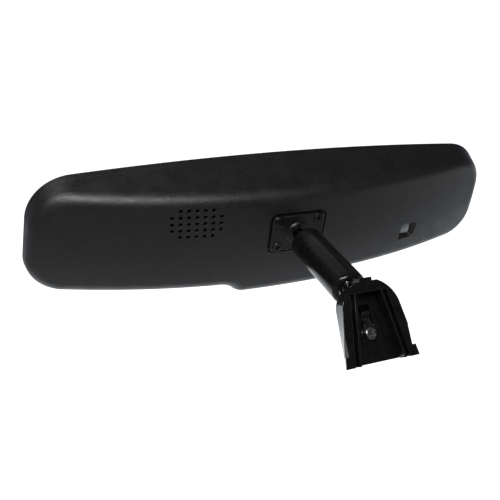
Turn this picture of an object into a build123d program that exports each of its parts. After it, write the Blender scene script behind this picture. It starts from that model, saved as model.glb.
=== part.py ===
from build123d import *
from math import cos, radians, sin, sqrt
import os

# Interior rearview mirror: auto-dimming head, double-ball arm and sliding windscreen foot.
# Frame: +X along the mirror, the glass faces -Y (driver), +Z up, the foot is at the rear (+Y).
# The origin is the middle of the floor of the foot's slide channel. Millimetres throughout.

# Head housing: outline at the rim, walls and crowned rear face
rim_centre = (0, -99.7, -1.2)      # middle of the front rim plane
rim_top = 31.9                     # height of the rim above its centre line, at the middle
rim_bottom = 35.0
top_rise = 4.7                     # how far the top edge falls towards its corners
bottom_rise = 3.9
top_half = 124.4                   # half length at the top corners, less than at the bottom
bottom_half = 132.2
top_corner = 23.7
bottom_corner = 17.1
chin_drop = 5.7                    # control strip bulge below the bottom edge
chin_half = 26.0
chin_slope = 6.0
chin_round = 9.0
top_draft = 0.35                   # inward lean of each wall, per millimetre of depth
bottom_draft = 0.073
side_draft = 0.15
head_depth = 29.1
plan_radius = 453.5                # rear face, seen from above
crown_radius = 183.5               # rear face, seen from the end
ridge_round = 8.0
wall = 2.2
bezel_depth = 4.0
rim_round = 1.2
tongue_depth = 3.0
tongue_gap = 0.2
tongue_wall = 1.7

# Electrochromic glass stack, distances behind the rim plane
glass_front = 1.2
glass_thick = 1.6
seal_thick = 0.4
glass_inset = 4.4
window_inset = 5.6
glass_clearance = 0.3
foam_thick = 0.5
carrier_thick = 1.5

# Mounting plate, its recess in the housing and its four screws
plate_height = 0.7                 # plate centre above the rim centre
plate_size = (28.3, 20.4)
plate_back = 27.4                  # depth of the recess floor
plate_thick = 2.4
plate_corner = 2.5
recess_gap = 1.1
plate_screw_span = (20.4, 15.0)
plate_screw_head = 2.6
plate_screw_shaft = 1.45
plate_screw_hole = 1.7
pad_margin = 1.5
backing_size = (34.0, 26.0)
backing_thick = 1.6
pad_front = 24.9                   # front face of the thick pad inside the housing

# Ball joints at both ends of the arm
ball = 5.2
running_gap = 0.05
liner_wall = 0.65
socket_outer = 6.6
socket_mouth = 3.6                 # distance from the ball's centre to the socket's open end
liner_mouth = 3.2
liner_back = 4.0
cup_depth = 6.6
neck = 2.6
head_neck = 14.3                   # plate's front face to the head ball's centre
arm_length = 34.0                  # centre to centre
arm_rise = 5.6                     # degrees, from the head up to the foot
tube_outer = 8.0
tube_overhang = 5.3                # tube beyond each ball's centre
tube_round = 2.1
tube_mouth = 5.6
spring_wire = 1.3
spring_radius = 4.6
seat_thick = 1.2

# Windscreen foot, in its own slope: "down" runs along the foot, "out" faces the windscreen
foot_slope = 43.0
foot_top = -17.0
foot_bottom = 16.4
foot_front = 6.5                   # front plane of the rails above the channel floor
foot_back = -3.0
channel_top = (-12.5, 5.8)         # distance down, half width of the mouth
channel_bottom = (17.0, 10.2)
channel_undercut = 1.2
undercut_height = 2.5
rail_thick = 0.9
groove_width = 1.9
groove_depth = 3.4
notch_span = (3.5, 11.8)
notch_depth = 1.3
boss_start = 9.3                   # boss for the ball stud, measured from the ball's centre
boss_radius = 5.6
stud_root = 12.5
pocket_span = (-8.0, 1.8)
pocket_width = 5.6
pocket_depth = 2.2
clip_screw_down = 4.2
clip_screw_head = 2.7

# Grille and loudspeaker
grille_centre = (51.8, 10.0)
grille_pitch = (3.87, 3.46)
grille_rows = (5, 7, 7, 7, 5)
grille_hole = 1.0
grille_sides = 16
speaker_depth = 20.8               # seat behind the rim plane
speaker_size = (18.4, 29.6)        # rim of the oblong driver, high and long
speaker_rim = 1.0

# Forward light sensor window
pocket_floor = 19.4
pocket_mouth = 24.5
lens_centre = (-73.0, -12.6)
lens_size = (7.6, 7.5)
mouth_centre = (-75.8, -13.7)
mouth_size = (14.8, 12.2)
pocket_wall = 1.4
pocket_clearance = 0.3

# Boards, socket and controls
board_back = 10.6
board_thick = 1.6
board_span = (-88.0, 28.0)
board_height = 34.0
post_places = ((-82.0, 11.0), (-50.0, -12.5), (22.0, 12.5), (22.0, -12.5))
post_width = 5.2
post_hole = 0.85
socket_x = -45.0
socket_depth = 15.0
socket_size = (15.0, 9.0, 12.0)
socket_cavity = (12.0, 6.0, 8.0)
button_size = (12.0, 5.2)
button_pitch = 14.5
button_height = -35.2
button_gap = 0.3
button_proud = 0.5
chin_wall = 1.8
stem_height = -34.2
stem_end = 6.1
control_board = (7.4, 9.0, 10.2)   # switch face, board face and board back
light_x = 24.0
light_height = -34.6
light_holes = (1.8, 1.0)           # radii of the glare sensor's and the status light's holes
light_clearance = 0.1

# Directions
plan_axis = rim_centre[1] + head_depth - plan_radius
arm_dir = (0, cos(radians(arm_rise)), sin(radians(arm_rise)))
down_dir = (0, cos(radians(foot_slope)), -sin(radians(foot_slope)))
out_dir = (0, sin(radians(foot_slope)), cos(radians(foot_slope)))
plate_front = plate_back + plate_thick
plate_centre = (0, rim_centre[1] + plate_front, rim_centre[2] + plate_height)
head_ball = tuple(p + head_neck * d for p, d in zip(plate_centre, arm_dir))
foot_ball = tuple(h + arm_length * d for h, d in zip(head_ball, arm_dir))
into_head = tuple(-d for d in arm_dir)
liner_inner = ball + running_gap
liner_outer = liner_inner + liner_wall
socket_bore = liner_outer + running_gap


def head_plane(depth, x=0.0, z=0.0):
    """Plane parallel to the glass, depth behind the rim, facing the driver."""
    origin = (rim_centre[0] + x, rim_centre[1] + depth, rim_centre[2] + z)
    return Plane(origin=origin, x_dir=(1, 0, 0), z_dir=(0, -1, 0))


def foot_plane(out, down=0.0):
    """Plane parallel to the channel floor; local x across, local y down the slope."""
    origin = tuple(out * o + down * d for o, d in zip(out_dir, down_dir))
    return Plane(origin=origin, x_dir=(1, 0, 0), z_dir=out_dir)


def joint_plane(centre, towards):
    """Half-section plane of a ball joint: local x is the radius, local y runs into the arm."""
    return Plane(origin=centre, x_dir=(1, 0, 0), z_dir=(0, -towards[2], towards[1]))


def head_section(depth, inset=0.0, chin=True):
    """Outline of the housing at a depth, drawn in from its edge by the inset."""
    top = rim_top - top_draft * depth - inset
    bottom = -rim_bottom + bottom_draft * depth + inset
    side = inset + side_draft * depth
    top_x = top_half - side
    bottom_x = bottom_half - side
    with BuildSketch(head_plane(depth)) as section:
        with BuildLine():
            ThreePointArc((top_x, top - top_rise), (0, top), (-top_x, top - top_rise))
            Line((-top_x, top - top_rise), (-bottom_x, bottom + bottom_rise))
            ThreePointArc((-bottom_x, bottom + bottom_rise), (0, bottom), (bottom_x, bottom + bottom_rise))
            Line((bottom_x, bottom + bottom_rise), (top_x, top - top_rise))
        make_face()
        if chin:
            low = bottom - chin_drop
            foot_x = chin_half - 0.4 * inset
            Polygon((-foot_x, low), (foot_x, low), (foot_x + 2 * chin_slope, low + 2 * chin_drop),
                    (-foot_x - 2 * chin_slope, low + 2 * chin_drop), align=None)
            corners = section.vertices().filter_by(lambda v: abs(v.X) < 60)
            concave = corners.filter_by(lambda v: v.Y > bottom - chin_drop / 2)
            fillet(concave, chin_round + inset)
            convex = section.vertices().filter_by(lambda v: v.Y < bottom - 0.9 * chin_drop)
            fillet(convex, chin_round - inset)
        upper = section.vertices().filter_by(lambda v: v.Y > 0)
        fillet(upper, top_corner - inset)
        lower = section.vertices().filter_by(lambda v: abs(v.X) > 100 and v.Y < bottom + bottom_rise + 1)
        fillet(lower, bottom_corner - inset)
    return section.sketch


def rear_form(inset):
    """Disc whose edge is the crowned rear face, curved in plan and from top to bottom."""
    half = 60.0
    radius = plan_radius - inset
    rim_radius = radius - half ** 2 / (2 * crown_radius)
    with BuildPart() as form:
        with BuildSketch(Plane(origin=(0, plan_axis, rim_centre[2]), x_dir=(0, -1, 0), z_dir=(-1, 0, 0))):
            with BuildLine():
                ThreePointArc((rim_radius, -half), (radius, 0), (rim_radius, half))
                Polyline((rim_radius, half), (0, half), (0, -half), (rim_radius, -half))
            make_face()
        revolve(axis=Axis((0, plan_axis, 0), (0, 0, 1)))
    return form.part


def head_solid(inset):
    """The housing's whole outer form, or its inside when inset by the wall."""
    with BuildPart() as solid:
        loft([head_section(0, inset), head_section(head_depth + 3, inset)], ruled=True)
        add(rear_form(inset), mode=Mode.INTERSECT)
        ridge = solid.faces().sort_by(Axis.Y)[-1].edges()
        fillet(ridge, ridge_round - inset)
    return solid.part


def ball_band(centre, towards, inner, outer, low, high):
    """Spherical ring between two spheres, from low to high along the arm."""
    with BuildPart() as band:
        with BuildSketch(joint_plane(centre, towards)):
            Circle(outer)
            Circle(inner, mode=Mode.SUBTRACT)
            with Locations((0, low)):
                Rectangle(outer, high - low, align=(Align.MIN, Align.MIN), mode=Mode.INTERSECT)
        revolve(axis=Axis(centre, towards))
    return band


def socket_part(centre, towards, low, high):
    """Turned socket piece with a spherical seat for the ball's liner."""
    with BuildPart() as socket:
        with BuildSketch(joint_plane(centre, towards)):
            with Locations((0, low)):
                Rectangle(socket_outer, high - low, align=(Align.MIN, Align.MIN))
            Circle(socket_bore, mode=Mode.SUBTRACT)
        revolve(axis=Axis(centre, towards))
    return socket


def cylinder_along(plane, radius, start, end):
    """Round bar on a plane's normal, between two heights above the plane."""
    with BuildPart() as bar:
        with BuildSketch(plane.offset(start)):
            Circle(radius)
        extrude(amount=end - start)
    return bar.part


def block(x, depth, z):
    """Box inside the head: each argument is a (low, high) pair measured from the rim's centre."""
    with BuildPart() as box:
        with BuildSketch(head_plane(depth[0])):
            with Locations(((x[0] + x[1]) / 2, (z[0] + z[1]) / 2)):
                Rectangle(x[1] - x[0], z[1] - z[0])
        extrude(amount=depth[0] - depth[1])
    return box.part


def span(centre, size):
    return (centre - size / 2, centre + size / 2)


def mid_wall_depth(x, z):
    """Depth of the middle of the rear wall at a place on it."""
    return head_depth - wall / 2 - x ** 2 / (2 * plan_radius) - z ** 2 / (2 * crown_radius)


def save(builder, name):
    builder.part.label = name
    export_step(builder.part, f"parts/{name}.step")


os.makedirs("parts", exist_ok=True)
outer_form = head_solid(0)
inner_form = head_solid(wall)
mid_wall_form = head_solid(wall / 2)

# Front bezel: rim wall, lip over the glass, tongue into the housing, control strip openings
button_places = [(i * button_pitch, button_height) for i in (-1, 0, 1)]
light_places = [(-light_x, light_height), (light_x, light_height)]
with BuildPart() as front_bezel:
    add(outer_form)
    split(bisect_by=head_plane(bezel_depth), keep=Keep.TOP)
    rim_edges = front_bezel.faces().sort_by(Axis.Y)[0].outer_wire().edges()
    fillet(rim_edges, rim_round)
    extrude(head_section(bezel_depth + tongue_depth, window_inset, chin=False).moved(
        Location((0, -bezel_depth - tongue_depth - 1, 0))), amount=-12, mode=Mode.SUBTRACT)
    with BuildPart(mode=Mode.PRIVATE) as tongue:
        add(head_solid(wall + tongue_gap))
        add(head_solid(wall + tongue_gap + tongue_wall), mode=Mode.SUBTRACT)
        split(bisect_by=head_plane(bezel_depth - 0.5), keep=Keep.BOTTOM)
        split(bisect_by=head_plane(bezel_depth + tongue_depth), keep=Keep.TOP)
    add(tongue.part)
    glass_room = head_section(bezel_depth + tongue_depth, glass_inset - glass_clearance, chin=False)
    extrude(glass_room.moved(Location((0, glass_front - bezel_depth - tongue_depth, 0))),
            amount=-10, mode=Mode.SUBTRACT)
    add(block(span(0, 2 * button_pitch + button_size[0] + 1.6), (chin_wall, bezel_depth + 0.1),
              span(button_height, button_size[1] + 1.6)), mode=Mode.SUBTRACT)
    with BuildSketch(head_plane(-1)):
        with Locations(*button_places):
            RectangleRounded(button_size[0] + 2 * button_gap, button_size[1] + 2 * button_gap, 1.3)
    extrude(amount=-chin_wall - 2, mode=Mode.SUBTRACT)
    with BuildSketch(head_plane(-1)):
        for place, radius in zip(light_places, light_holes):
            with Locations(place):
                Circle(radius)
    extrude(amount=-10, mode=Mode.SUBTRACT)
save(front_bezel, "front_bezel")

# Rear housing: drafted walls, crowned back, plate recess, grille, sensor pocket, posts
middle_row = (len(grille_rows) - 1) / 2
grille_spots = [((column - (count - 1) / 2) * grille_pitch[0], (middle_row - row) * grille_pitch[1])
                for row, count in enumerate(grille_rows) for column in range(count)]
lean = grille_centre[0] / plan_radius
speaker_out = (lean, sqrt(1 - lean ** 2), 0)
speaker_origin = head_plane(speaker_depth, *grille_centre).origin
speaker_plane = Plane(origin=speaker_origin, x_dir=(0, 0, 1), z_dir=speaker_out)
board_front = board_back - board_thick
socket_room = (span(socket_x, socket_size[0] + 0.4), span(socket_depth, socket_size[1] + 0.4))


def sensor_pocket(grow):
    """Tapered well down to the light sensor's lens, or its wall's outer form when grown."""
    with BuildPart() as well:
        with BuildSketch(head_plane(pocket_floor - grow, lens_centre[0], lens_centre[1])):
            room = pocket_clearance + grow
            RectangleRounded(lens_size[0] + 2 * room, lens_size[1] + 2 * room, 1.2)
        with BuildSketch(head_plane(pocket_mouth, mouth_centre[0], mouth_centre[1])):
            RectangleRounded(mouth_size[0] + 2 * grow, mouth_size[1] + 2 * grow, 2.4)
        loft()
    return well.part


def inside_wall(shape):
    """Inner feature trimmed to end in the middle of the housing's wall."""
    with BuildPart() as trimmed:
        add(shape)
        add(mid_wall_form, mode=Mode.INTERSECT)
    return trimmed.part


def oblong(offset, shrink, thick):
    """Slab with the speaker's oblong outline, shrunk all round, from an offset outwards."""
    size = [side - 2 * shrink for side in speaker_size]
    with BuildPart() as slab:
        with BuildSketch(speaker_plane.offset(offset)):
            RectangleRounded(size[0], size[1], size[0] / 2 - 0.5)
        extrude(amount=thick)
    return slab.part


with BuildPart() as speaker_seat:
    add(oblong(0, -0.2, 2.6))
    add(oblong(-1, speaker_rim, 5), mode=Mode.SUBTRACT)

with BuildPart() as rear_housing:
    add(outer_form)
    add(inner_form, mode=Mode.SUBTRACT)
    split(bisect_by=head_plane(bezel_depth), keep=Keep.BOTTOM)
    add(inside_wall(speaker_seat.part))
    add(inside_wall(sensor_pocket(pocket_wall)))
    add(inside_wall(block(span(0, backing_size[0] + 2 * pad_margin), (pad_front, head_depth),
                          span(plate_height, backing_size[1] + 2 * pad_margin))))
    for x, z in post_places:
        add(block(span(x, post_width), (board_back, mid_wall_depth(x, z)), span(z, post_width)))
    with BuildSketch(head_plane(head_depth + 1, 0, plate_height)):
        RectangleRounded(plate_size[0] + 2 * recess_gap, plate_size[1] + 2 * recess_gap,
                         plate_corner + recess_gap)
    extrude(amount=head_depth + 1 - plate_back, mode=Mode.SUBTRACT)
    with BuildSketch(head_plane(head_depth + 1, 0, plate_height)):
        with GridLocations(plate_screw_span[0], plate_screw_span[1], 2, 2):
            Circle(plate_screw_hole)
    extrude(amount=head_depth + 1 - pad_front + wall, mode=Mode.SUBTRACT)
    add(sensor_pocket(0), mode=Mode.SUBTRACT)
    add(block(span(lens_centre[0], lens_size[0] + 0.1), (pocket_floor - 3, pocket_floor + 0.1),
              span(lens_centre[1], lens_size[1] + 0.1)), mode=Mode.SUBTRACT)
    add(block(*socket_room, (-rim_bottom - 3, -rim_bottom + 8)), mode=Mode.SUBTRACT)
    for x, z in post_places:
        add(cylinder_along(head_plane(0, x, z), post_hole, -board_back - 6, -board_back + 1), mode=Mode.SUBTRACT)
    with BuildSketch(head_plane(head_depth, *grille_centre)):
        with Locations(*grille_spots):
            RegularPolygon(grille_hole, grille_sides)
    extrude(amount=head_depth - speaker_depth + 1, mode=Mode.SUBTRACT)
save(rear_housing, "rear_housing")

# Glass stack behind the bezel's lip
def stack_sheet(inset, front, thick):
    """Flat sheet of the glass stack: outline inset, front face depth and thickness."""
    outline = head_section(bezel_depth + tongue_depth, inset, chin=False)
    with BuildPart() as sheet:
        extrude(outline.moved(Location((0, front - bezel_depth - tongue_depth, 0))), amount=-thick)
    return sheet.part


seal_front = glass_front + glass_thick
rear_glass_front = seal_front + seal_thick
foam_front = rear_glass_front + glass_thick
carrier_front = foam_front + foam_thick

with BuildPart() as front_glass:
    add(stack_sheet(glass_inset, glass_front, glass_thick))
save(front_glass, "front_glass")

with BuildPart() as cell_seal:
    add(stack_sheet(glass_inset + 0.4, seal_front, seal_thick))
    add(stack_sheet(glass_inset + 2.0, seal_front, seal_thick), mode=Mode.SUBTRACT)
save(cell_seal, "cell_seal")

with BuildPart() as rear_glass:
    add(stack_sheet(glass_inset, rear_glass_front, glass_thick))
save(rear_glass, "rear_glass")

with BuildPart() as foam_pad:
    add(stack_sheet(glass_inset + 2.0, foam_front, foam_thick))
save(foam_pad, "foam_pad")

with BuildPart() as carrier_plate:
    add(stack_sheet(glass_inset + 0.3, carrier_front, carrier_thick))
    with BuildSketch(head_plane(carrier_front)):
        with GridLocations(70, 0.1, 3, 1):
            RectangleRounded(40, 26, 6)
    extrude(amount=-carrier_thick, mode=Mode.SUBTRACT)
save(carrier_plate, "carrier_plate")

# Mounting plate on the back of the head, its screws and the threaded plate inside
screw_places = [(i * plate_screw_span[0] / 2, plate_height + j * plate_screw_span[1] / 2)
                for i in (-1, 1) for j in (-1, 1)]
stud_plane = Plane(origin=plate_centre, x_dir=(1, 0, 0), z_dir=arm_dir)
flange_thick = 1.5
with BuildPart() as mount_plate:
    with BuildSketch(head_plane(plate_back, 0, plate_height)):
        RectangleRounded(plate_size[0], plate_size[1], plate_corner)
    extrude(amount=-plate_thick)
    chamfer(mount_plate.faces().sort_by(Axis.Y)[-1].edges(), 0.5)
    with BuildSketch(head_plane(plate_front, 0, plate_height)):
        Circle(6.4)
    extrude(amount=-0.9, taper=35)
    add(cylinder_along(head_plane(0, 0, plate_height), 5.2, -plate_back - flange_thick - 0.1, -plate_back + 1),
        mode=Mode.SUBTRACT)
    add(cylinder_along(head_plane(0, 0, plate_height), 3.0, -plate_front - 2, -plate_back), mode=Mode.SUBTRACT)
    for x, z in screw_places:
        add(cylinder_along(head_plane(0, x, z), 1.6, -plate_front - 1, -plate_back + 1), mode=Mode.SUBTRACT)
        add(cylinder_along(head_plane(0, x, z), plate_screw_head + 0.15, -plate_front - 1, -plate_front + 0.9),
            mode=Mode.SUBTRACT)
save(mount_plate, "mount_plate")

with BuildPart() as head_ball_stud:
    add(cylinder_along(head_plane(0, 0, plate_height), 5.0, -plate_back - flange_thick, -plate_back))
    add(cylinder_along(stud_plane, neck, -1.6, head_neck - 3))
    with Locations(head_ball):
        Sphere(ball)
save(head_ball_stud, "head_ball_stud")

with BuildPart() as plate_screws:
    for x, z in screw_places:
        with BuildPart(mode=Mode.PRIVATE) as screw:
            tip = backing_thick + 1 - pad_front
            add(cylinder_along(head_plane(0, x, z), plate_screw_shaft, -plate_front, tip))
            add(cylinder_along(head_plane(0, x, z), plate_screw_head, -plate_front - 0.35, -plate_front + 0.85))
            fillet(screw.faces().sort_by(Axis.Y)[-1].edges(), 0.4)
            with BuildSketch(head_plane(plate_front + 0.4, x, z)):
                Rectangle(3.2, 0.8)
                Rectangle(0.8, 3.2)
            extrude(amount=0.9, mode=Mode.SUBTRACT)
        add(screw.part)
save(plate_screws, "plate_screws")

with BuildPart() as backing_plate:
    with BuildSketch(head_plane(pad_front - backing_thick, 0, plate_height)):
        RectangleRounded(backing_size[0], backing_size[1], 2)
        with GridLocations(plate_screw_span[0], plate_screw_span[1], 2, 2):
            Circle(plate_screw_shaft + 0.03, mode=Mode.SUBTRACT)
    extrude(amount=-backing_thick)
save(backing_plate, "backing_plate")

# Boards, forward light sensor and wire socket inside the housing
with BuildPart() as circuit_board:
    add(block(board_span, (board_front, board_back), span(0, board_height)))
    for x, z in post_places:
        add(cylinder_along(head_plane(0, x, z), 1.0, -board_back - 1, -board_front + 1), mode=Mode.SUBTRACT)
save(circuit_board, "circuit_board")

chips = (((-20, 2), (14, 14), 1.6), ((4, -6), (9, 7), 1.4), ((-44, 6), (10, 12), 1.4),
         ((8, 9), (6, 6), 5.0), ((-64, 9), (6, 6), 5.0), ((-36, -10), (16, 5), 6.0))
with BuildPart() as board_components:
    for (x, z), (width, height), tall in chips:
        add(block(span(x, width), (board_back, board_back + tall), span(z, height)))
save(board_components, "board_components")

with BuildPart() as board_screws:
    for x, z in post_places:
        add(cylinder_along(head_plane(0, x, z), 1.7, -board_front, -board_front + 1.1))
        add(cylinder_along(head_plane(0, x, z), 0.82, -board_back - 4, -board_front))
save(board_screws, "board_screws")

sensor_back = board_back + 1.2
with BuildPart() as light_sensor:
    add(block(span(lens_centre[0], 3.2), (board_back, sensor_back), span(lens_centre[1], 3.2)))
save(light_sensor, "light_sensor")

with BuildPart() as sensor_lens:
    with BuildSketch(head_plane(pocket_floor + 0.3, *lens_centre)):
        RectangleRounded(lens_size[0], lens_size[1], 0.8)
    extrude(amount=2.0)
    add(cylinder_along(head_plane(0, *lens_centre), 2.4, -pocket_floor, -sensor_back - 0.3))
save(sensor_lens, "sensor_lens")

socket_bottom = -33.2
socket_top = socket_bottom + socket_size[2]
with BuildPart() as wire_socket:
    add(block(span(socket_x, socket_size[0]), span(socket_depth, socket_size[1]), (socket_bottom, socket_top)))
    add(block(span(socket_x, socket_cavity[0]), span(socket_depth, socket_cavity[1]),
              (socket_bottom - 1, socket_bottom + socket_cavity[2])), mode=Mode.SUBTRACT)
save(wire_socket, "wire_socket")

pin_pitch = 2.8
pin_size = 0.9
pin_tip = socket_bottom + 3.6
pin_places = [socket_x + (i - 1.5) * pin_pitch for i in range(4)]
with BuildPart() as socket_pins:
    for x in pin_places:
        add(block(span(x, pin_size), span(socket_depth, pin_size), (pin_tip, socket_bottom + socket_cavity[2])))
save(socket_pins, "socket_pins")

# Loudspeaker behind the grille, facing out through it
basket_height = 5.2
magnet_height = 4.0
magnet_radius = 5.0
cap_radius = 3.4
flange = 1.0
gasket_thick = 0.8
basket_top = -gasket_thick - flange

with BuildPart() as speaker_gasket:
    add(oblong(-gasket_thick, 0, gasket_thick))
    add(oblong(-gasket_thick, speaker_rim, gasket_thick), mode=Mode.SUBTRACT)
save(speaker_gasket, "speaker_gasket")


def basket_form(shrink):
    """Tapered body of the speaker's basket, or its hollow when shrunk by the wall."""
    top = [side - 2 * (speaker_rim + 0.3 + shrink) for side in speaker_size]
    with BuildPart() as form:
        with BuildSketch(speaker_plane.offset(basket_top)):
            RectangleRounded(top[0], top[1], top[0] / 2 - 0.5)
        with BuildSketch(speaker_plane.offset(basket_top - basket_height + shrink)):
            RectangleRounded(top[0] * 0.62, top[1] * 0.62, top[0] * 0.31 - 0.5)
        loft()
    return form.part


with BuildPart() as speaker_basket:
    add(basket_form(0))
    add(oblong(basket_top, 0, flange))
    add(basket_form(0.7), mode=Mode.SUBTRACT)
    add(oblong(basket_top, speaker_rim + 1.0, flange), mode=Mode.SUBTRACT)
save(speaker_basket, "speaker_basket")

with BuildPart() as speaker_cone:
    add(oblong(basket_top + 0.5, speaker_rim + 1.1, 0.4))
    add(cylinder_along(speaker_plane, cap_radius, basket_top + 0.5, basket_top + 1.6))
save(speaker_cone, "speaker_cone")

with BuildPart() as speaker_magnet:
    magnet_top = basket_top - basket_height
    add(cylinder_along(speaker_plane, magnet_radius, magnet_top - magnet_height, magnet_top))
save(speaker_magnet, "speaker_magnet")

# Control strip: three buttons, their switches and two light guides
switch_face, control_face, control_back = control_board
button_names = ("button_left", "button_middle", "button_right")
flange_size = (button_size[0] + 1.0, button_size[1] + 1.0)
for label, (x, z) in zip(button_names, button_places):
    with BuildPart() as push_button:
        with BuildSketch(head_plane(-button_proud, x, z)):
            RectangleRounded(button_size[0], button_size[1], 1.0)
        extrude(amount=-button_proud - chin_wall - 0.5)
        fillet(push_button.faces().sort_by(Axis.Y)[0].edges(), 0.4)
        add(block(span(x, flange_size[0]), (chin_wall + 0.3, chin_wall + 1.2), span(z, flange_size[1])))
        add(block(span(x, 4.0), (chin_wall + 1, stem_end), span(stem_height, 2.6)))
    save(push_button, label)

with BuildPart() as button_board:
    add(block(span(0, 51.2), (control_face, control_back), (-35.9, -30.4)))
save(button_board, "button_board")

with BuildPart() as button_switches:
    for x, z in button_places:
        add(block(span(x, 5.0), (switch_face, control_face), span(stem_height + 0.4, 3.6)))
        add(cylinder_along(head_plane(0, x, stem_height), 1.1, -switch_face, -switch_face + 0.5))
save(button_switches, "button_switches")

with BuildPart() as front_chips:
    for x, z in light_places:
        add(block(span(x, 2.6), (control_face - 0.8, control_face), span(z + 1.0, 2.6)))
save(front_chips, "front_chips")

for label, hole, (x, z) in zip(("glare_lens", "status_light"), light_holes, light_places):
    with BuildPart() as guide:
        add(cylinder_along(head_plane(0, x, z), hole - light_clearance, 1.0 - control_face, -0.1))
    save(guide, label)

# Arm: a tube with a sprung socket at each end
room = (-socket_mouth - 0.2, arm_length + socket_mouth + 0.2)
with BuildPart() as arm_tube:
    with BuildSketch(joint_plane(head_ball, arm_dir)):
        with Locations((0, -tube_overhang)):
            Rectangle(tube_outer, arm_length + 2 * tube_overhang, align=(Align.MIN, Align.MIN))
            Rectangle(tube_mouth, arm_length + 2 * tube_overhang, align=(Align.MIN, Align.MIN),
                      mode=Mode.SUBTRACT)
    revolve(axis=Axis(head_ball, arm_dir))
    fillet(arm_tube.edges().filter_by(lambda e: e.geom_type == GeomType.CIRCLE and e.radius > 7), tube_round)
    with BuildSketch(joint_plane(head_ball, arm_dir)):
        with Locations((0, room[0])):
            Rectangle(socket_outer + running_gap, room[1] - room[0], align=(Align.MIN, Align.MIN))
    revolve(axis=Axis(head_ball, arm_dir), mode=Mode.SUBTRACT)
save(arm_tube, "arm_tube")

for end, centre, towards in (("head", head_ball, arm_dir), ("foot", foot_ball, into_head)):
    save(ball_band(centre, towards, liner_inner, liner_outer, -liner_mouth, liner_back), f"{end}_ball_liner")
    save(socket_part(centre, towards, -socket_mouth, -0.1), f"{end}_socket_ring")
    save(socket_part(centre, towards, 0.1, cup_depth), f"{end}_socket_cup")

arm_plane = Plane(origin=head_ball, x_dir=(1, 0, 0), z_dir=arm_dir)
seat_places = (cup_depth + 0.3, arm_length - cup_depth - seat_thick)
with BuildPart() as spring_seats:
    for start in seat_places:
        add(cylinder_along(arm_plane, socket_outer - 0.2, start, start + seat_thick))
        add(cylinder_along(arm_plane, 2.0, start - 1, start + seat_thick + 1), mode=Mode.SUBTRACT)
save(spring_seats, "spring_seats")

spring_start = seat_places[0] + seat_thick + spring_wire / 2
spring_length = seat_places[1] - spring_wire / 2 - spring_start
with BuildPart() as arm_spring:
    with BuildLine() as coil:
        Helix(pitch=spring_length / 5, height=spring_length, radius=spring_radius,
              center=arm_plane.offset(spring_start).origin, direction=arm_dir)
    with BuildSketch(Plane(origin=coil.line @ 0, z_dir=coil.line % 0)):
        Circle(spring_wire / 2)
    sweep()
save(arm_spring, "arm_spring")

# Windscreen foot: tapered block with a slide channel, grooved rails and a boss for the ball stud
foot_stud_plane = Plane(origin=foot_ball, x_dir=(1, 0, 0), z_dir=arm_dir)


def foot_outline(out, top, arc, shoulder, base):
    """Outline of the foot at a height: half widths and distances down of four points."""
    with BuildSketch(foot_plane(out)) as outline:
        with BuildLine():
            Line((-top[0], top[1]), top)
            ThreePointArc(top, arc, shoulder)
            Line(shoulder, base)
            Line(base, (-base[0], base[1]))
            Line((-base[0], base[1]), (-shoulder[0], shoulder[1]))
            ThreePointArc((-shoulder[0], shoulder[1]), (-arc[0], arc[1]), (-top[0], top[1]))
        make_face()
    return outline.sketch


def rail_band(inner, width):
    """Both sloping strips beside the channel: distance from its edge, and their width."""
    (top, top_half_width), (low, low_half_width) = channel_top, channel_bottom
    for side in (-1, 1):
        points = [(side * (top_half_width + inner), top), (side * (top_half_width + inner + width), top),
                  (side * (low_half_width + inner + width), low), (side * (low_half_width + inner), low)]
        Polygon(*points, align=None)


def channel_shape(grow):
    (top, top_half_width), (low, low_half_width) = channel_top, channel_bottom
    Polygon((-top_half_width - grow, top), (top_half_width + grow, top),
            (low_half_width + grow, low), (-low_half_width - grow, low), align=None)


with BuildPart() as foot_bracket:
    add(cylinder_along(foot_stud_plane, boss_radius, boss_start, boss_start + 14))
    split(bisect_by=foot_plane(foot_back + 1), keep=Keep.BOTTOM)
    with BuildPart(mode=Mode.PRIVATE) as casting:
        loft([foot_outline(foot_back, (4, -16), (9.2, -13), (11.8, -7), (12.6, foot_bottom)),
              foot_outline(foot_front, (5, foot_top), (10.2, -13.2), (13.4, -7), (17.3, foot_bottom))],
             ruled=True)
        fillet(casting.faces().sort_by(Axis(foot_plane(0).origin, out_dir))[0].edges(), 1.0)
    add(casting.part)
    with BuildSketch(foot_plane(undercut_height)):
        channel_shape(0)
    extrude(amount=foot_front, mode=Mode.SUBTRACT)
    with BuildSketch(foot_plane(0)):
        channel_shape(channel_undercut)
    extrude(amount=undercut_height, mode=Mode.SUBTRACT)
    with BuildSketch(foot_plane(foot_front + 1)):
        rail_band(rail_thick, groove_width)
    extrude(amount=-groove_depth - 1, mode=Mode.SUBTRACT)
    with BuildSketch(foot_plane(foot_front + 1)):
        for side in (-1, 1):
            with Locations((side * (16.2 - notch_depth), sum(notch_span) / 2)):
                Rectangle(4, notch_span[1] - notch_span[0], align=(Align.MIN if side > 0 else Align.MAX,
                                                                   Align.CENTER))
    extrude(amount=-5, mode=Mode.SUBTRACT)
    with BuildSketch(foot_plane(-1)):
        with Locations((0, (channel_top[0] + foot_top - 1.5) / 2)):
            Rectangle(6, channel_top[0] - foot_top + 1.5)
    extrude(amount=foot_front + 0.6)
    with BuildSketch(foot_plane(0)):
        with Locations((0, sum(pocket_span) / 2)):
            RectangleRounded(pocket_width, pocket_span[1] - pocket_span[0], 1.5)
    extrude(amount=-pocket_depth, mode=Mode.SUBTRACT)
    add(cylinder_along(foot_plane(0, clip_screw_down), 1.3, -2.5, 1), mode=Mode.SUBTRACT)
    add(cylinder_along(foot_stud_plane, neck, boss_start - 1, stud_root), mode=Mode.SUBTRACT)
save(foot_bracket, "foot_bracket")

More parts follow.
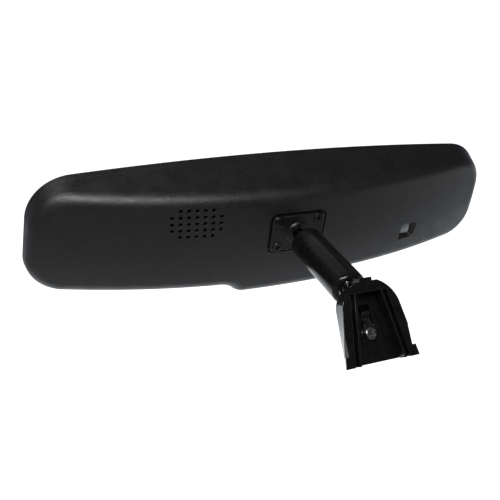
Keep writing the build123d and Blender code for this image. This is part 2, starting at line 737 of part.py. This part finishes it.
with BuildPart() as foot_ball_stud:
    with Locations(foot_ball):
        Sphere(ball)
    add(cylinder_along(foot_stud_plane, neck, ball - 2, stud_root))
save(foot_ball_stud, "foot_ball_stud")

# Leaf spring that bears on the windscreen button, and its screw
spring_path = [(clip_screw_down + 2.4, 0.25), (pocket_span[1] - 1.4, 0.25), (-2.2, -1.3), (-4.6, 0.9),
               (-7.2, -1.6)]
leaf_thick = 0.45
leaf_width = 4.0
with BuildPart() as clip_spring:
    with BuildSketch(Plane(origin=(-leaf_width / 2, 0, 0), x_dir=down_dir, z_dir=(1, 0, 0))):
        with BuildLine():
            FilletPolyline(*spring_path, radius=0.8)
        trace(line_width=leaf_thick)
    extrude(amount=leaf_width)
    add(cylinder_along(foot_plane(0, clip_screw_down), 1.35, -1, 2), mode=Mode.SUBTRACT)
save(clip_spring, "clip_spring")

with BuildPart() as clip_screw:
    add(cylinder_along(foot_plane(0, clip_screw_down), 1.25, -2.4, 0.6))
    add(cylinder_along(foot_plane(0, clip_screw_down), clip_screw_head, 0.5, 2.1))
    fillet(clip_screw.faces().sort_by(Axis(foot_plane(0).origin, out_dir))[-1].edges(), 0.6)
    with BuildSketch(foot_plane(2.2, clip_screw_down)):
        Rectangle(3.2, 0.8, rotation=45)
        Rectangle(0.8, 3.2, rotation=45)
    extrude(amount=-1.1, mode=Mode.SUBTRACT)
save(clip_screw, "clip_screw")
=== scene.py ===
from math import asin, cos, pi, sin

import bmesh
import bpy
from mathutils import Matrix, Vector


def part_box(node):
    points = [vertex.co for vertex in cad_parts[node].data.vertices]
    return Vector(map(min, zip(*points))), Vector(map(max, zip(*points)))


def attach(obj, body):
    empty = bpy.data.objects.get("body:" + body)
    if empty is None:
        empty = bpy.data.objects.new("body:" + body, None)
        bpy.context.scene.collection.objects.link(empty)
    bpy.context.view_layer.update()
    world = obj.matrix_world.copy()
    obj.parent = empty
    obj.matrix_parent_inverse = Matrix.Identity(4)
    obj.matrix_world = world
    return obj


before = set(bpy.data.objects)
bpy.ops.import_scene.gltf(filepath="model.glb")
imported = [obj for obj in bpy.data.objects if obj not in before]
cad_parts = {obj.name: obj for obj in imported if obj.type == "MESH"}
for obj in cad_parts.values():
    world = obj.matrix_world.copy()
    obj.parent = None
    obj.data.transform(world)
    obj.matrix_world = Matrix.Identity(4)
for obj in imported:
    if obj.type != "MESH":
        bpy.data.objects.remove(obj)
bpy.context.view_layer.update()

# Looks of the interior rearview mirror. Row frame in metres: +X along the mirror, glass faces -Y, +Z up.
MM = 0.001


# ---------------------------------------------------------------- material building blocks
NOISE_ROUGHNESS = 0.55
EDGE_SAMPLES = 4
EDGE_SHARPNESS = (0.995, 0.9)      # cosines between true and softened normal, where the edge mask starts and is full: wear, and on moulded plastic also a painted highlight


class Graph:
    """A material's node tree with short calls for the nodes that the finishes share."""

    def __init__(self, name):
        self.material = bpy.data.materials.new(name)
        self.material.use_nodes = True
        self.tree = self.material.node_tree
        self.shader = self.tree.nodes["Principled BSDF"]
        coordinates = self.tree.nodes.new("ShaderNodeTexCoord")
        self.place = coordinates.outputs["Object"]

    def link(self, source, target):
        self.tree.links.new(source, target)

    def node(self, kind, **sockets):
        """A node of this kind; each keyword sets or links the input of that name."""
        made = self.tree.nodes.new("ShaderNode" + kind)
        for label, value in sockets.items():
            socket = made.inputs[label.replace("_", " ")]
            if isinstance(value, bpy.types.NodeSocket):
                self.link(value, socket)
            else:
                socket.default_value = value
        return made

    def stretched(self, stretch):
        """Object coordinates scaled per axis, which draws a grain out along one of them."""
        mapping = self.node("Mapping", Vector=self.place, Scale=stretch)
        return mapping.outputs["Vector"]

    def noise(self, size, detail=3.0, stretch=(1, 1, 1)):
        """Noise whose features are about this many millimetres wide."""
        made = self.node("TexNoise", Vector=self.stretched(stretch), Scale=1 / (size * MM),
                         Detail=detail, Roughness=NOISE_ROUGHNESS)
        return made.outputs["Fac"]

    def cells(self, size):
        """Cell pattern of this pitch in millimetres."""
        made = self.node("TexVoronoi", Vector=self.place, Scale=1 / (size * MM))
        return made.outputs["Distance"]

    def ramp(self, value, low, high, start=0.0, end=1.0):
        """Value mapped from low..high to start..end and held there."""
        made = self.node("MapRange", Value=value)
        for label, number in zip(("From Min", "From Max", "To Min", "To Max"), (low, high, start, end)):
            made.inputs[label].default_value = number
        return made.outputs["Result"]

    def mix(self, amount, first, second):
        """Colour mix; each side is an RGB triple or a socket."""
        made = self.tree.nodes.new("ShaderNodeMix")
        made.data_type = "RGBA"
        self.link(amount, made.inputs["Factor"])
        for socket, value in ((made.inputs["A"], first), (made.inputs["B"], second)):
            colour_socket = [s for s in made.inputs if s.name == socket.name and s.type == "RGBA"][0]
            if isinstance(value, bpy.types.NodeSocket):
                self.link(value, colour_socket)
            else:
                colour_socket.default_value = (*value, 1)
        return [s for s in made.outputs if s.type == "RGBA"][0]

    def maths(self, operation, first, second):
        """Result of a two-sided sum; each side is a number or a socket."""
        made = self.tree.nodes.new("ShaderNodeMath")
        made.operation = operation
        for socket, value in zip(made.inputs, (first, second)):
            if isinstance(value, bpy.types.NodeSocket):
                self.link(value, socket)
            else:
                socket.default_value = value
        return made.outputs["Value"]

    def edges(self, radius):
        """(normal with softened edges, 0..1 mask that is high along sharp edges)."""
        soft = self.node("Bevel", Radius=radius * MM)
        soft.samples = EDGE_SAMPLES
        shape = self.node("NewGeometry")
        dot = self.tree.nodes.new("ShaderNodeVectorMath")
        dot.operation = "DOT_PRODUCT"
        self.link(soft.outputs["Normal"], dot.inputs[0])
        self.link(shape.outputs["Normal"], dot.inputs[1])
        return soft.outputs["Normal"], self.ramp(dot.outputs["Value"], *EDGE_SHARPNESS)

    def bump(self, height, depth, normal=None):
        """Bump of this depth in millimetres, on top of another normal if there is one."""
        made = self.node("Bump", Height=height, Distance=depth * MM)
        if normal:
            self.link(normal, made.inputs["Normal"])
        return made.outputs["Normal"]

    def finish(self, **sockets):
        """Sets or links the shader's sockets by name, and returns the material."""
        for label, value in sockets.items():
            socket = self.shader.inputs[label.replace("_", " ")]
            if isinstance(value, bpy.types.NodeSocket):
                self.link(value, socket)
            else:
                socket.default_value = value
        return self.material


def moulded(name, dark, light, rough, grain, depth, spec=0.5, edge=0.25, pits=0.0):
    """Moulded plastic: cloudy colour, fine spark-eroded grain, softened and slightly polished edges,
    lightened in colour partly as wear and partly as a painted highlight.

    grain, depth and edge are in millimetres; pits is the share of round pits in the grain.
    """
    g = Graph(name)
    softened, sharp_edges = g.edges(edge)
    cloud = g.ramp(g.noise(38.0, 4.0), 0.35, 0.65)
    speck = g.ramp(g.noise(grain * 2.2, 2.0), 0.4, 0.62)
    body = g.mix(cloud, dark, light)
    tone = g.mix(g.maths("MULTIPLY", speck, 0.45), body, [min(1.0, c * 1.7 + 0.001) for c in light])
    # Edges lightened in colour: partly wear, partly a painted highlight standing in for reflections along the
    # edges.
    tone = g.mix(g.maths("MULTIPLY", sharp_edges, 0.35), tone, [min(1.0, c * 2.2 + 0.02) for c in light])
    roughness = g.ramp(g.noise(9.0, 5.0), 0.3, 0.7, rough - 0.05, rough + 0.06)
    roughness = g.maths("SUBTRACT", roughness, g.maths("MULTIPLY", sharp_edges, 0.1))
    relief = g.maths("ADD", g.noise(grain, 3.0), g.maths("MULTIPLY", g.cells(grain * 1.4), pits))
    return g.finish(Base_Color=tone, Roughness=roughness, Normal=g.bump(relief, depth, softened),
                    Specular_IOR_Level=spec, IOR=1.5)


def metal(name, dark, light, rough, stretch, depth=0.01):
    """Machined or drawn metal: grain along one axis, stains, and edges rubbed bright."""
    g = Graph(name)
    softened, sharp_edges = g.edges(0.2)
    lines = g.noise(0.35, 4.0, stretch)
    stain = g.ramp(g.noise(6.0, 5.0), 0.35, 0.7)
    tone = g.mix(stain, dark, light)
    tone = g.mix(g.maths("MULTIPLY", lines, 0.3), tone, [c * 0.6 for c in dark])
    tone = g.mix(sharp_edges, tone, [min(1.0, c * 1.25) for c in light])
    roughness = g.maths("ADD", g.ramp(lines, 0.3, 0.7, rough - 0.06, rough + 0.08),
                        g.ramp(stain, 0.0, 1.0, 0.05, 0.0))
    return g.finish(Base_Color=tone, Roughness=roughness, Normal=g.bump(lines, depth, softened),
                    Metallic=1.0)


def clear(name, tint, rough, transmission, ior, haze=0.0):
    """Clear or hazy moulding or glass with faint flow marks and a trace of surface dust."""
    g = Graph(name)
    flow = g.noise(7.0, 3.0, (1, 1, 0.3))
    dust = g.ramp(g.noise(0.9, 6.0), 0.62, 0.8)
    tone = g.mix(g.ramp(flow, 0.3, 0.7), tint, [c * 0.93 for c in tint])
    roughness = g.maths("ADD", g.ramp(flow, 0.3, 0.7, rough, rough + 0.02), g.maths("MULTIPLY", dust, 0.08))
    return g.finish(Base_Color=tone, Roughness=roughness, Normal=g.bump(flow, 0.004),
                    Transmission_Weight=transmission, IOR=ior, Subsurface_Weight=haze,
                    Subsurface_Radius=(2 * MM, 2 * MM, 2 * MM))


def fibrous(name, dark, light, size, depth, rough=0.9, sheen=0.3):
    """Foam, pressed paper or rubber: open pores over a fibre pattern."""
    g = Graph(name)
    pores = g.ramp(g.cells(size), 0.1, 0.5)
    fibre = g.noise(size * 0.7, 5.0, (1, 3, 1))
    # Pores painted darker than the surface around them: painted shade in the pits.
    tone = g.mix(pores, dark, light)
    tone = g.mix(g.ramp(fibre, 0.45, 0.7, 0.0, 0.5), tone, [c * 0.7 for c in dark])
    relief = g.maths("ADD", pores, fibre)
    return g.finish(Base_Color=tone, Roughness=g.ramp(fibre, 0.2, 0.8, rough - 0.08, rough),
                    Normal=g.bump(relief, depth), Sheen_Weight=sheen, Specular_IOR_Level=0.3)


def solder_mask(name):
    """Green circuit board: traces as narrow bands under the mask, with fine weave."""
    g = Graph(name)
    bricks = g.node("TexBrick", Vector=g.place, Scale=1 / (7.0 * MM), Mortar_Size=0.03)
    traces = g.ramp(bricks.outputs["Fac"], 0.2, 0.8)
    weave = g.cells(0.6)
    tone = g.mix(g.ramp(weave, 0.1, 0.6), (0.006, 0.075, 0.028), (0.01, 0.11, 0.04))
    tone = g.mix(traces, tone, (0.03, 0.2, 0.075))
    relief = g.maths("ADD", traces, g.maths("MULTIPLY", weave, 0.2))
    return g.finish(Base_Color=tone, Roughness=g.ramp(weave, 0.0, 0.8, 0.28, 0.42),
                    Normal=g.bump(relief, 0.03), Coat_Weight=0.4, Coat_Roughness=0.15)


def silvered(name):
    """Rear glass of the dimming cell, silvered, with the faint blue cast of its coating."""
    g = Graph(name)
    haze = g.noise(45.0, 4.0)
    tone = g.mix(g.ramp(haze, 0.3, 0.7), (0.60, 0.65, 0.70), (0.66, 0.69, 0.72))
    wipe = g.noise(0.8, 5.0, (0.2, 1, 1))
    roughness = g.maths("ADD", g.ramp(haze, 0.3, 0.7, 0.012, 0.022), g.ramp(wipe, 0.6, 0.8, 0.0, 0.02))
    return g.finish(Base_Color=tone, Roughness=roughness, Metallic=1.0, Normal=g.bump(haze, 0.002))


PLAIN = (1, 1, 1)                  # no grain direction; a small number draws the grain out on its axis
BLACK = ((0.0030, 0.0030, 0.0034), (0.0045, 0.0043, 0.0046))
finishes = {
    "housing_plastic": moulded("housing_plastic", (0.0036, 0.0036, 0.0044), (0.0052, 0.0048, 0.0054),
                               0.44, 0.75, 0.06, pits=0.5),
    "button_plastic": moulded("button_plastic", (0.014, 0.014, 0.015), (0.018, 0.018, 0.019),
                              0.38, 0.25, 0.02),
    "gloss_black": moulded("gloss_black", *BLACK, 0.17, 1.6, 0.02, spec=0.3, edge=0.45),
    "plate_black": moulded("plate_black", *BLACK, 0.36, 0.8, 0.02, spec=0.35),
    "inner_plastic": moulded("inner_plastic", (0.05, 0.05, 0.052), (0.065, 0.065, 0.066), 0.5, 0.5, 0.03),
    "chip_plastic": moulded("chip_plastic", (0.012, 0.012, 0.013), (0.02, 0.02, 0.021), 0.5, 0.15, 0.02),
    "socket_plastic": moulded("socket_plastic", (0.028, 0.028, 0.03), (0.036, 0.036, 0.037),
                              0.4, 0.3, 0.02),
    "bearing_plastic": moulded("bearing_plastic", (0.62, 0.6, 0.54), (0.7, 0.68, 0.61), 0.35, 0.4, 0.01),
    "magnet": moulded("magnet", (0.03, 0.03, 0.032), (0.05, 0.05, 0.052), 0.6, 0.2, 0.04, pits=1.0),
    "black_screw": metal("black_screw", (0.02, 0.02, 0.022), (0.06, 0.06, 0.065), 0.34, PLAIN),
    "screw_steel": metal("screw_steel", (0.2, 0.2, 0.2), (0.5, 0.49, 0.48), 0.24, PLAIN),
    "spring_steel": metal("spring_steel", (0.045, 0.045, 0.05), (0.11, 0.11, 0.12), 0.3, (1, 0.15, 1)),
    "stud_steel": metal("stud_steel", (0.05, 0.05, 0.052), (0.1, 0.1, 0.105), 0.18, (1, 0.3, 1), depth=0.004),
    "socket_metal": metal("socket_metal", (0.13, 0.13, 0.13), (0.2, 0.2, 0.2), 0.3, (1, 0.3, 1)),
    "pin_brass": metal("pin_brass", (0.55, 0.38, 0.13), (0.8, 0.6, 0.25), 0.2, (1, 1, 0.2)),
    "clear_glass": clear("clear_glass", (0.93, 0.96, 0.97), 0.005, 1.0, 1.52),
    "lens_plastic": clear("lens_plastic", (0.72, 0.73, 0.76), 0.2, 0.55, 1.49, 0.2),
    "mirror_glass": silvered("mirror_glass"),
    "seal_rubber": fibrous("seal_rubber", (0.01, 0.01, 0.01), (0.02, 0.02, 0.02), 0.5, 0.02, 0.6, 0.1),
    "foam": fibrous("foam", (0.015, 0.015, 0.016), (0.035, 0.035, 0.036), 0.6, 0.12),
    "paper_cone": fibrous("paper_cone", (0.02, 0.02, 0.02), (0.045, 0.044, 0.042), 0.4, 0.06),
    "board": solder_mask("board"),
}
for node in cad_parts.values():
    for index, old in enumerate(node.data.materials):
        node.data.materials[index] = finishes[old.name.split(".")[0]]


# ---------------------------------------------------------------- dust cloth behind the grille
def mesh_object(name, build, finish, body):
    """New visual piece from a bmesh, with its finish, riding on a CAD body."""
    mesh = bpy.data.meshes.new(name)
    shape = bmesh.new()
    build(shape)
    bmesh.ops.recalc_face_normals(shape, faces=shape.faces)
    shape.to_mesh(mesh)
    shape.free()
    piece = bpy.data.objects.new(name, mesh)
    bpy.context.scene.collection.objects.link(piece)
    mesh.materials.append(finish)
    for polygon in mesh.polygons:
        polygon.use_smooth = True
    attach(piece, body)
    return piece


WAVE_TURN = 6.283                  # one turn of the wave texture


def woven(name, dark, light, pitch):
    """Plain-weave mesh cloth: two crossed sets of threads."""
    g = Graph(name)
    threads = []
    for axis in ("X", "Z"):
        wave = g.node("TexWave", Vector=g.place, Scale=1 / (pitch * MM * WAVE_TURN), Distortion=0.4,
                      Detail=1.0)
        wave.bands_direction = axis
        threads.append(wave.outputs["Fac"])
    weave = g.maths("MAXIMUM", *threads)
    fuzz = g.noise(0.15, 4.0)
    # Gaps between the threads painted darker: painted shade between the threads.
    tone = g.mix(g.ramp(weave, 0.2, 0.9), dark, light)
    relief = g.maths("ADD", weave, g.maths("MULTIPLY", fuzz, 0.3))
    return g.finish(Base_Color=tone, Roughness=g.ramp(fuzz, 0.2, 0.8, 0.8, 0.95),
                    Normal=g.bump(relief, 0.1), Sheen_Weight=0.4)


gasket_low, gasket_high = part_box("speaker_gasket")
gasket_middle = (gasket_low + gasket_high) / 2
plan_radius = 453.5 * MM           # rear face's curve, which tilts the loudspeaker
rim_width = 1.2 * MM
cloth_forward = 0.2 * MM
lean = asin(gasket_middle.x / plan_radius)
across = Vector((cos(lean), -sin(lean), 0))
outward = Vector((sin(lean), cos(lean), 0))
gasket_size = gasket_high - gasket_low
cloth_half = (gasket_size.x / 2 - rim_width, gasket_size.z / 2 - rim_width)
cloth_middle = gasket_middle + outward * cloth_forward
cloth_thick = 0.12 * MM
cloth_sag = 0.25 * MM
cloth_rings = 6
cloth_sides = 48


def build_cloth(shape):
    """Oblong sheet in rings, its middle sagging inwards a little."""
    straight = cloth_half[0] - cloth_half[1]

    def point(ring, side):
        angle = 2 * pi * side / cloth_sides
        share = ring / cloth_rings
        shift = straight if cos(angle) >= 0 else -straight
        u = share * (cloth_half[1] * cos(angle) + shift)
        v = share * cloth_half[1] * sin(angle)
        return cloth_middle + across * u + Vector((0, 0, v)) - outward * cloth_sag * (1 - share ** 2)

    centre = shape.verts.new(point(0, 0))
    rings = [[shape.verts.new(point(ring, side)) for side in range(cloth_sides)]
             for ring in range(1, cloth_rings + 1)]
    for side in range(cloth_sides):
        following = (side + 1) % cloth_sides
        shape.faces.new((centre, rings[0][side], rings[0][following]))
        for inner, outer in zip(rings, rings[1:]):
            shape.faces.new((inner[side], outer[side], outer[following], inner[following]))


cloth_finish = woven("grille_cloth", (0.004, 0.004, 0.004), (0.02, 0.02, 0.021), 0.45)
dust_cloth = mesh_object("dust_cloth", build_cloth, cloth_finish, "head")
thickness = dust_cloth.modifiers.new("thickness", "SOLIDIFY")
thickness.thickness = cloth_thick
thickness.offset = 0

# ---------------------------------------------------------------- stage, light and camera
floor_level = -0.80
floor_half = 9.0
bright_edge = (0.40, -0.12)        # x and y where the lit paper starts to fade
fade_length = 0.5
floor_glow = (0.2, 1.15)           # faded and lit


def pale_paper():
    """Pale floor paper, lit evenly under the object and fading out behind it."""
    g = Graph("floor")
    paper = g.noise(60.0, 4.0)
    tone = g.mix(g.ramp(paper, 0.3, 0.7), (0.86, 0.86, 0.86), (0.89, 0.89, 0.89))
    apart = g.node("SeparateXYZ", Vector=g.place)
    lit = g.maths("MULTIPLY", *[g.ramp(apart.outputs[axis], edge, edge + fade_length, 1.0, 0.0)
                                for axis, edge in zip("XY", bright_edge)])
    return g.finish(Base_Color=tone, Roughness=g.ramp(paper, 0.3, 0.7, 0.85, 0.95),
                    Normal=g.bump(g.noise(1.5, 4.0), 0.05), Emission_Color=(0.92, 0.96, 1.0, 1),
                    Emission_Strength=g.ramp(lit, 0.0, 1.0, *floor_glow))


floor_mesh = bpy.data.meshes.new("floor")
corners = [(x * floor_half, y * floor_half, floor_level) for x, y in ((-1, -1), (1, -1), (1, 1), (-1, 1))]
floor_mesh.from_pydata(corners, [], [range(len(corners))])
floor_mesh.materials.append(pale_paper())
floor = bpy.data.objects.new("floor", floor_mesh)
bpy.context.scene.collection.objects.link(floor)


def soft_light(name, at, size, watts):
    """Rectangular softbox aimed at the middle of the head."""
    data = bpy.data.lights.new(name, "AREA")
    data.shape = "RECTANGLE"
    data.size, data.size_y = size
    data.energy = watts
    lamp = bpy.data.objects.new(name, data)
    bpy.context.scene.collection.objects.link(lamp)
    lamp.location = at
    lamp.rotation_euler = (Vector(head_middle) - Vector(at)).to_track_quat("-Z", "Y").to_euler()


head_middle = (0.0, -0.09, 0.0)
soft_light("high_strip", (0.34, 0.22, 0.70), (0.9, 0.07), 9.0)
soft_light("side_panel", (-0.75, 0.35, -0.05), (0.4, 0.4), 0.35)
soft_light("front_fill", (0.1, -0.9, 0.35), (0.8, 0.6), 0.5)

# The room is pale low down and dark overhead.
pale_height, dark_height = -0.25, 0.30
pale_strength, dark_strength = 0.36, 0.06
world = bpy.data.worlds.new("studio")
bpy.context.scene.world = world
world.use_nodes = True
studio = world.node_tree
background = studio.nodes["Background"]
background.inputs["Color"].default_value = (0.90, 0.95, 1.0, 1)
direction = studio.nodes.new("ShaderNodeTexCoord")
height = studio.nodes.new("ShaderNodeSeparateXYZ")
studio.links.new(direction.outputs["Generated"], height.inputs["Vector"])
fade = studio.nodes.new("ShaderNodeMapRange")
for label, number in (("From Min", pale_height), ("From Max", dark_height),
                      ("To Min", pale_strength), ("To Max", dark_strength)):
    fade.inputs[label].default_value = number
studio.links.new(height.outputs["Z"], fade.inputs["Value"])
studio.links.new(fade.outputs["Result"], background.inputs["Strength"])

camera_place = (0.13126, 0.15660, 0.16743)
camera_right = Vector((-0.92880, 0.35567, 0.10407))
camera_up = Vector((-0.12650, -0.56825, 0.81308))
camera_back = Vector((0.34833, 0.74202, 0.57278))
camera_data = bpy.data.cameras.new("camera")
camera_data.lens = 44.6
camera_data.sensor_width = 36.0
camera_data.clip_start = 0.01
camera = bpy.data.objects.new("camera", camera_data)
bpy.context.scene.collection.objects.link(camera)
turn = Matrix((camera_right, camera_up, camera_back)).transposed()
camera.matrix_world = Matrix.Translation(camera_place) @ turn.to_4x4()
bpy.context.scene.camera = camera
bpy.context.scene.view_settings.view_transform = "Standard"
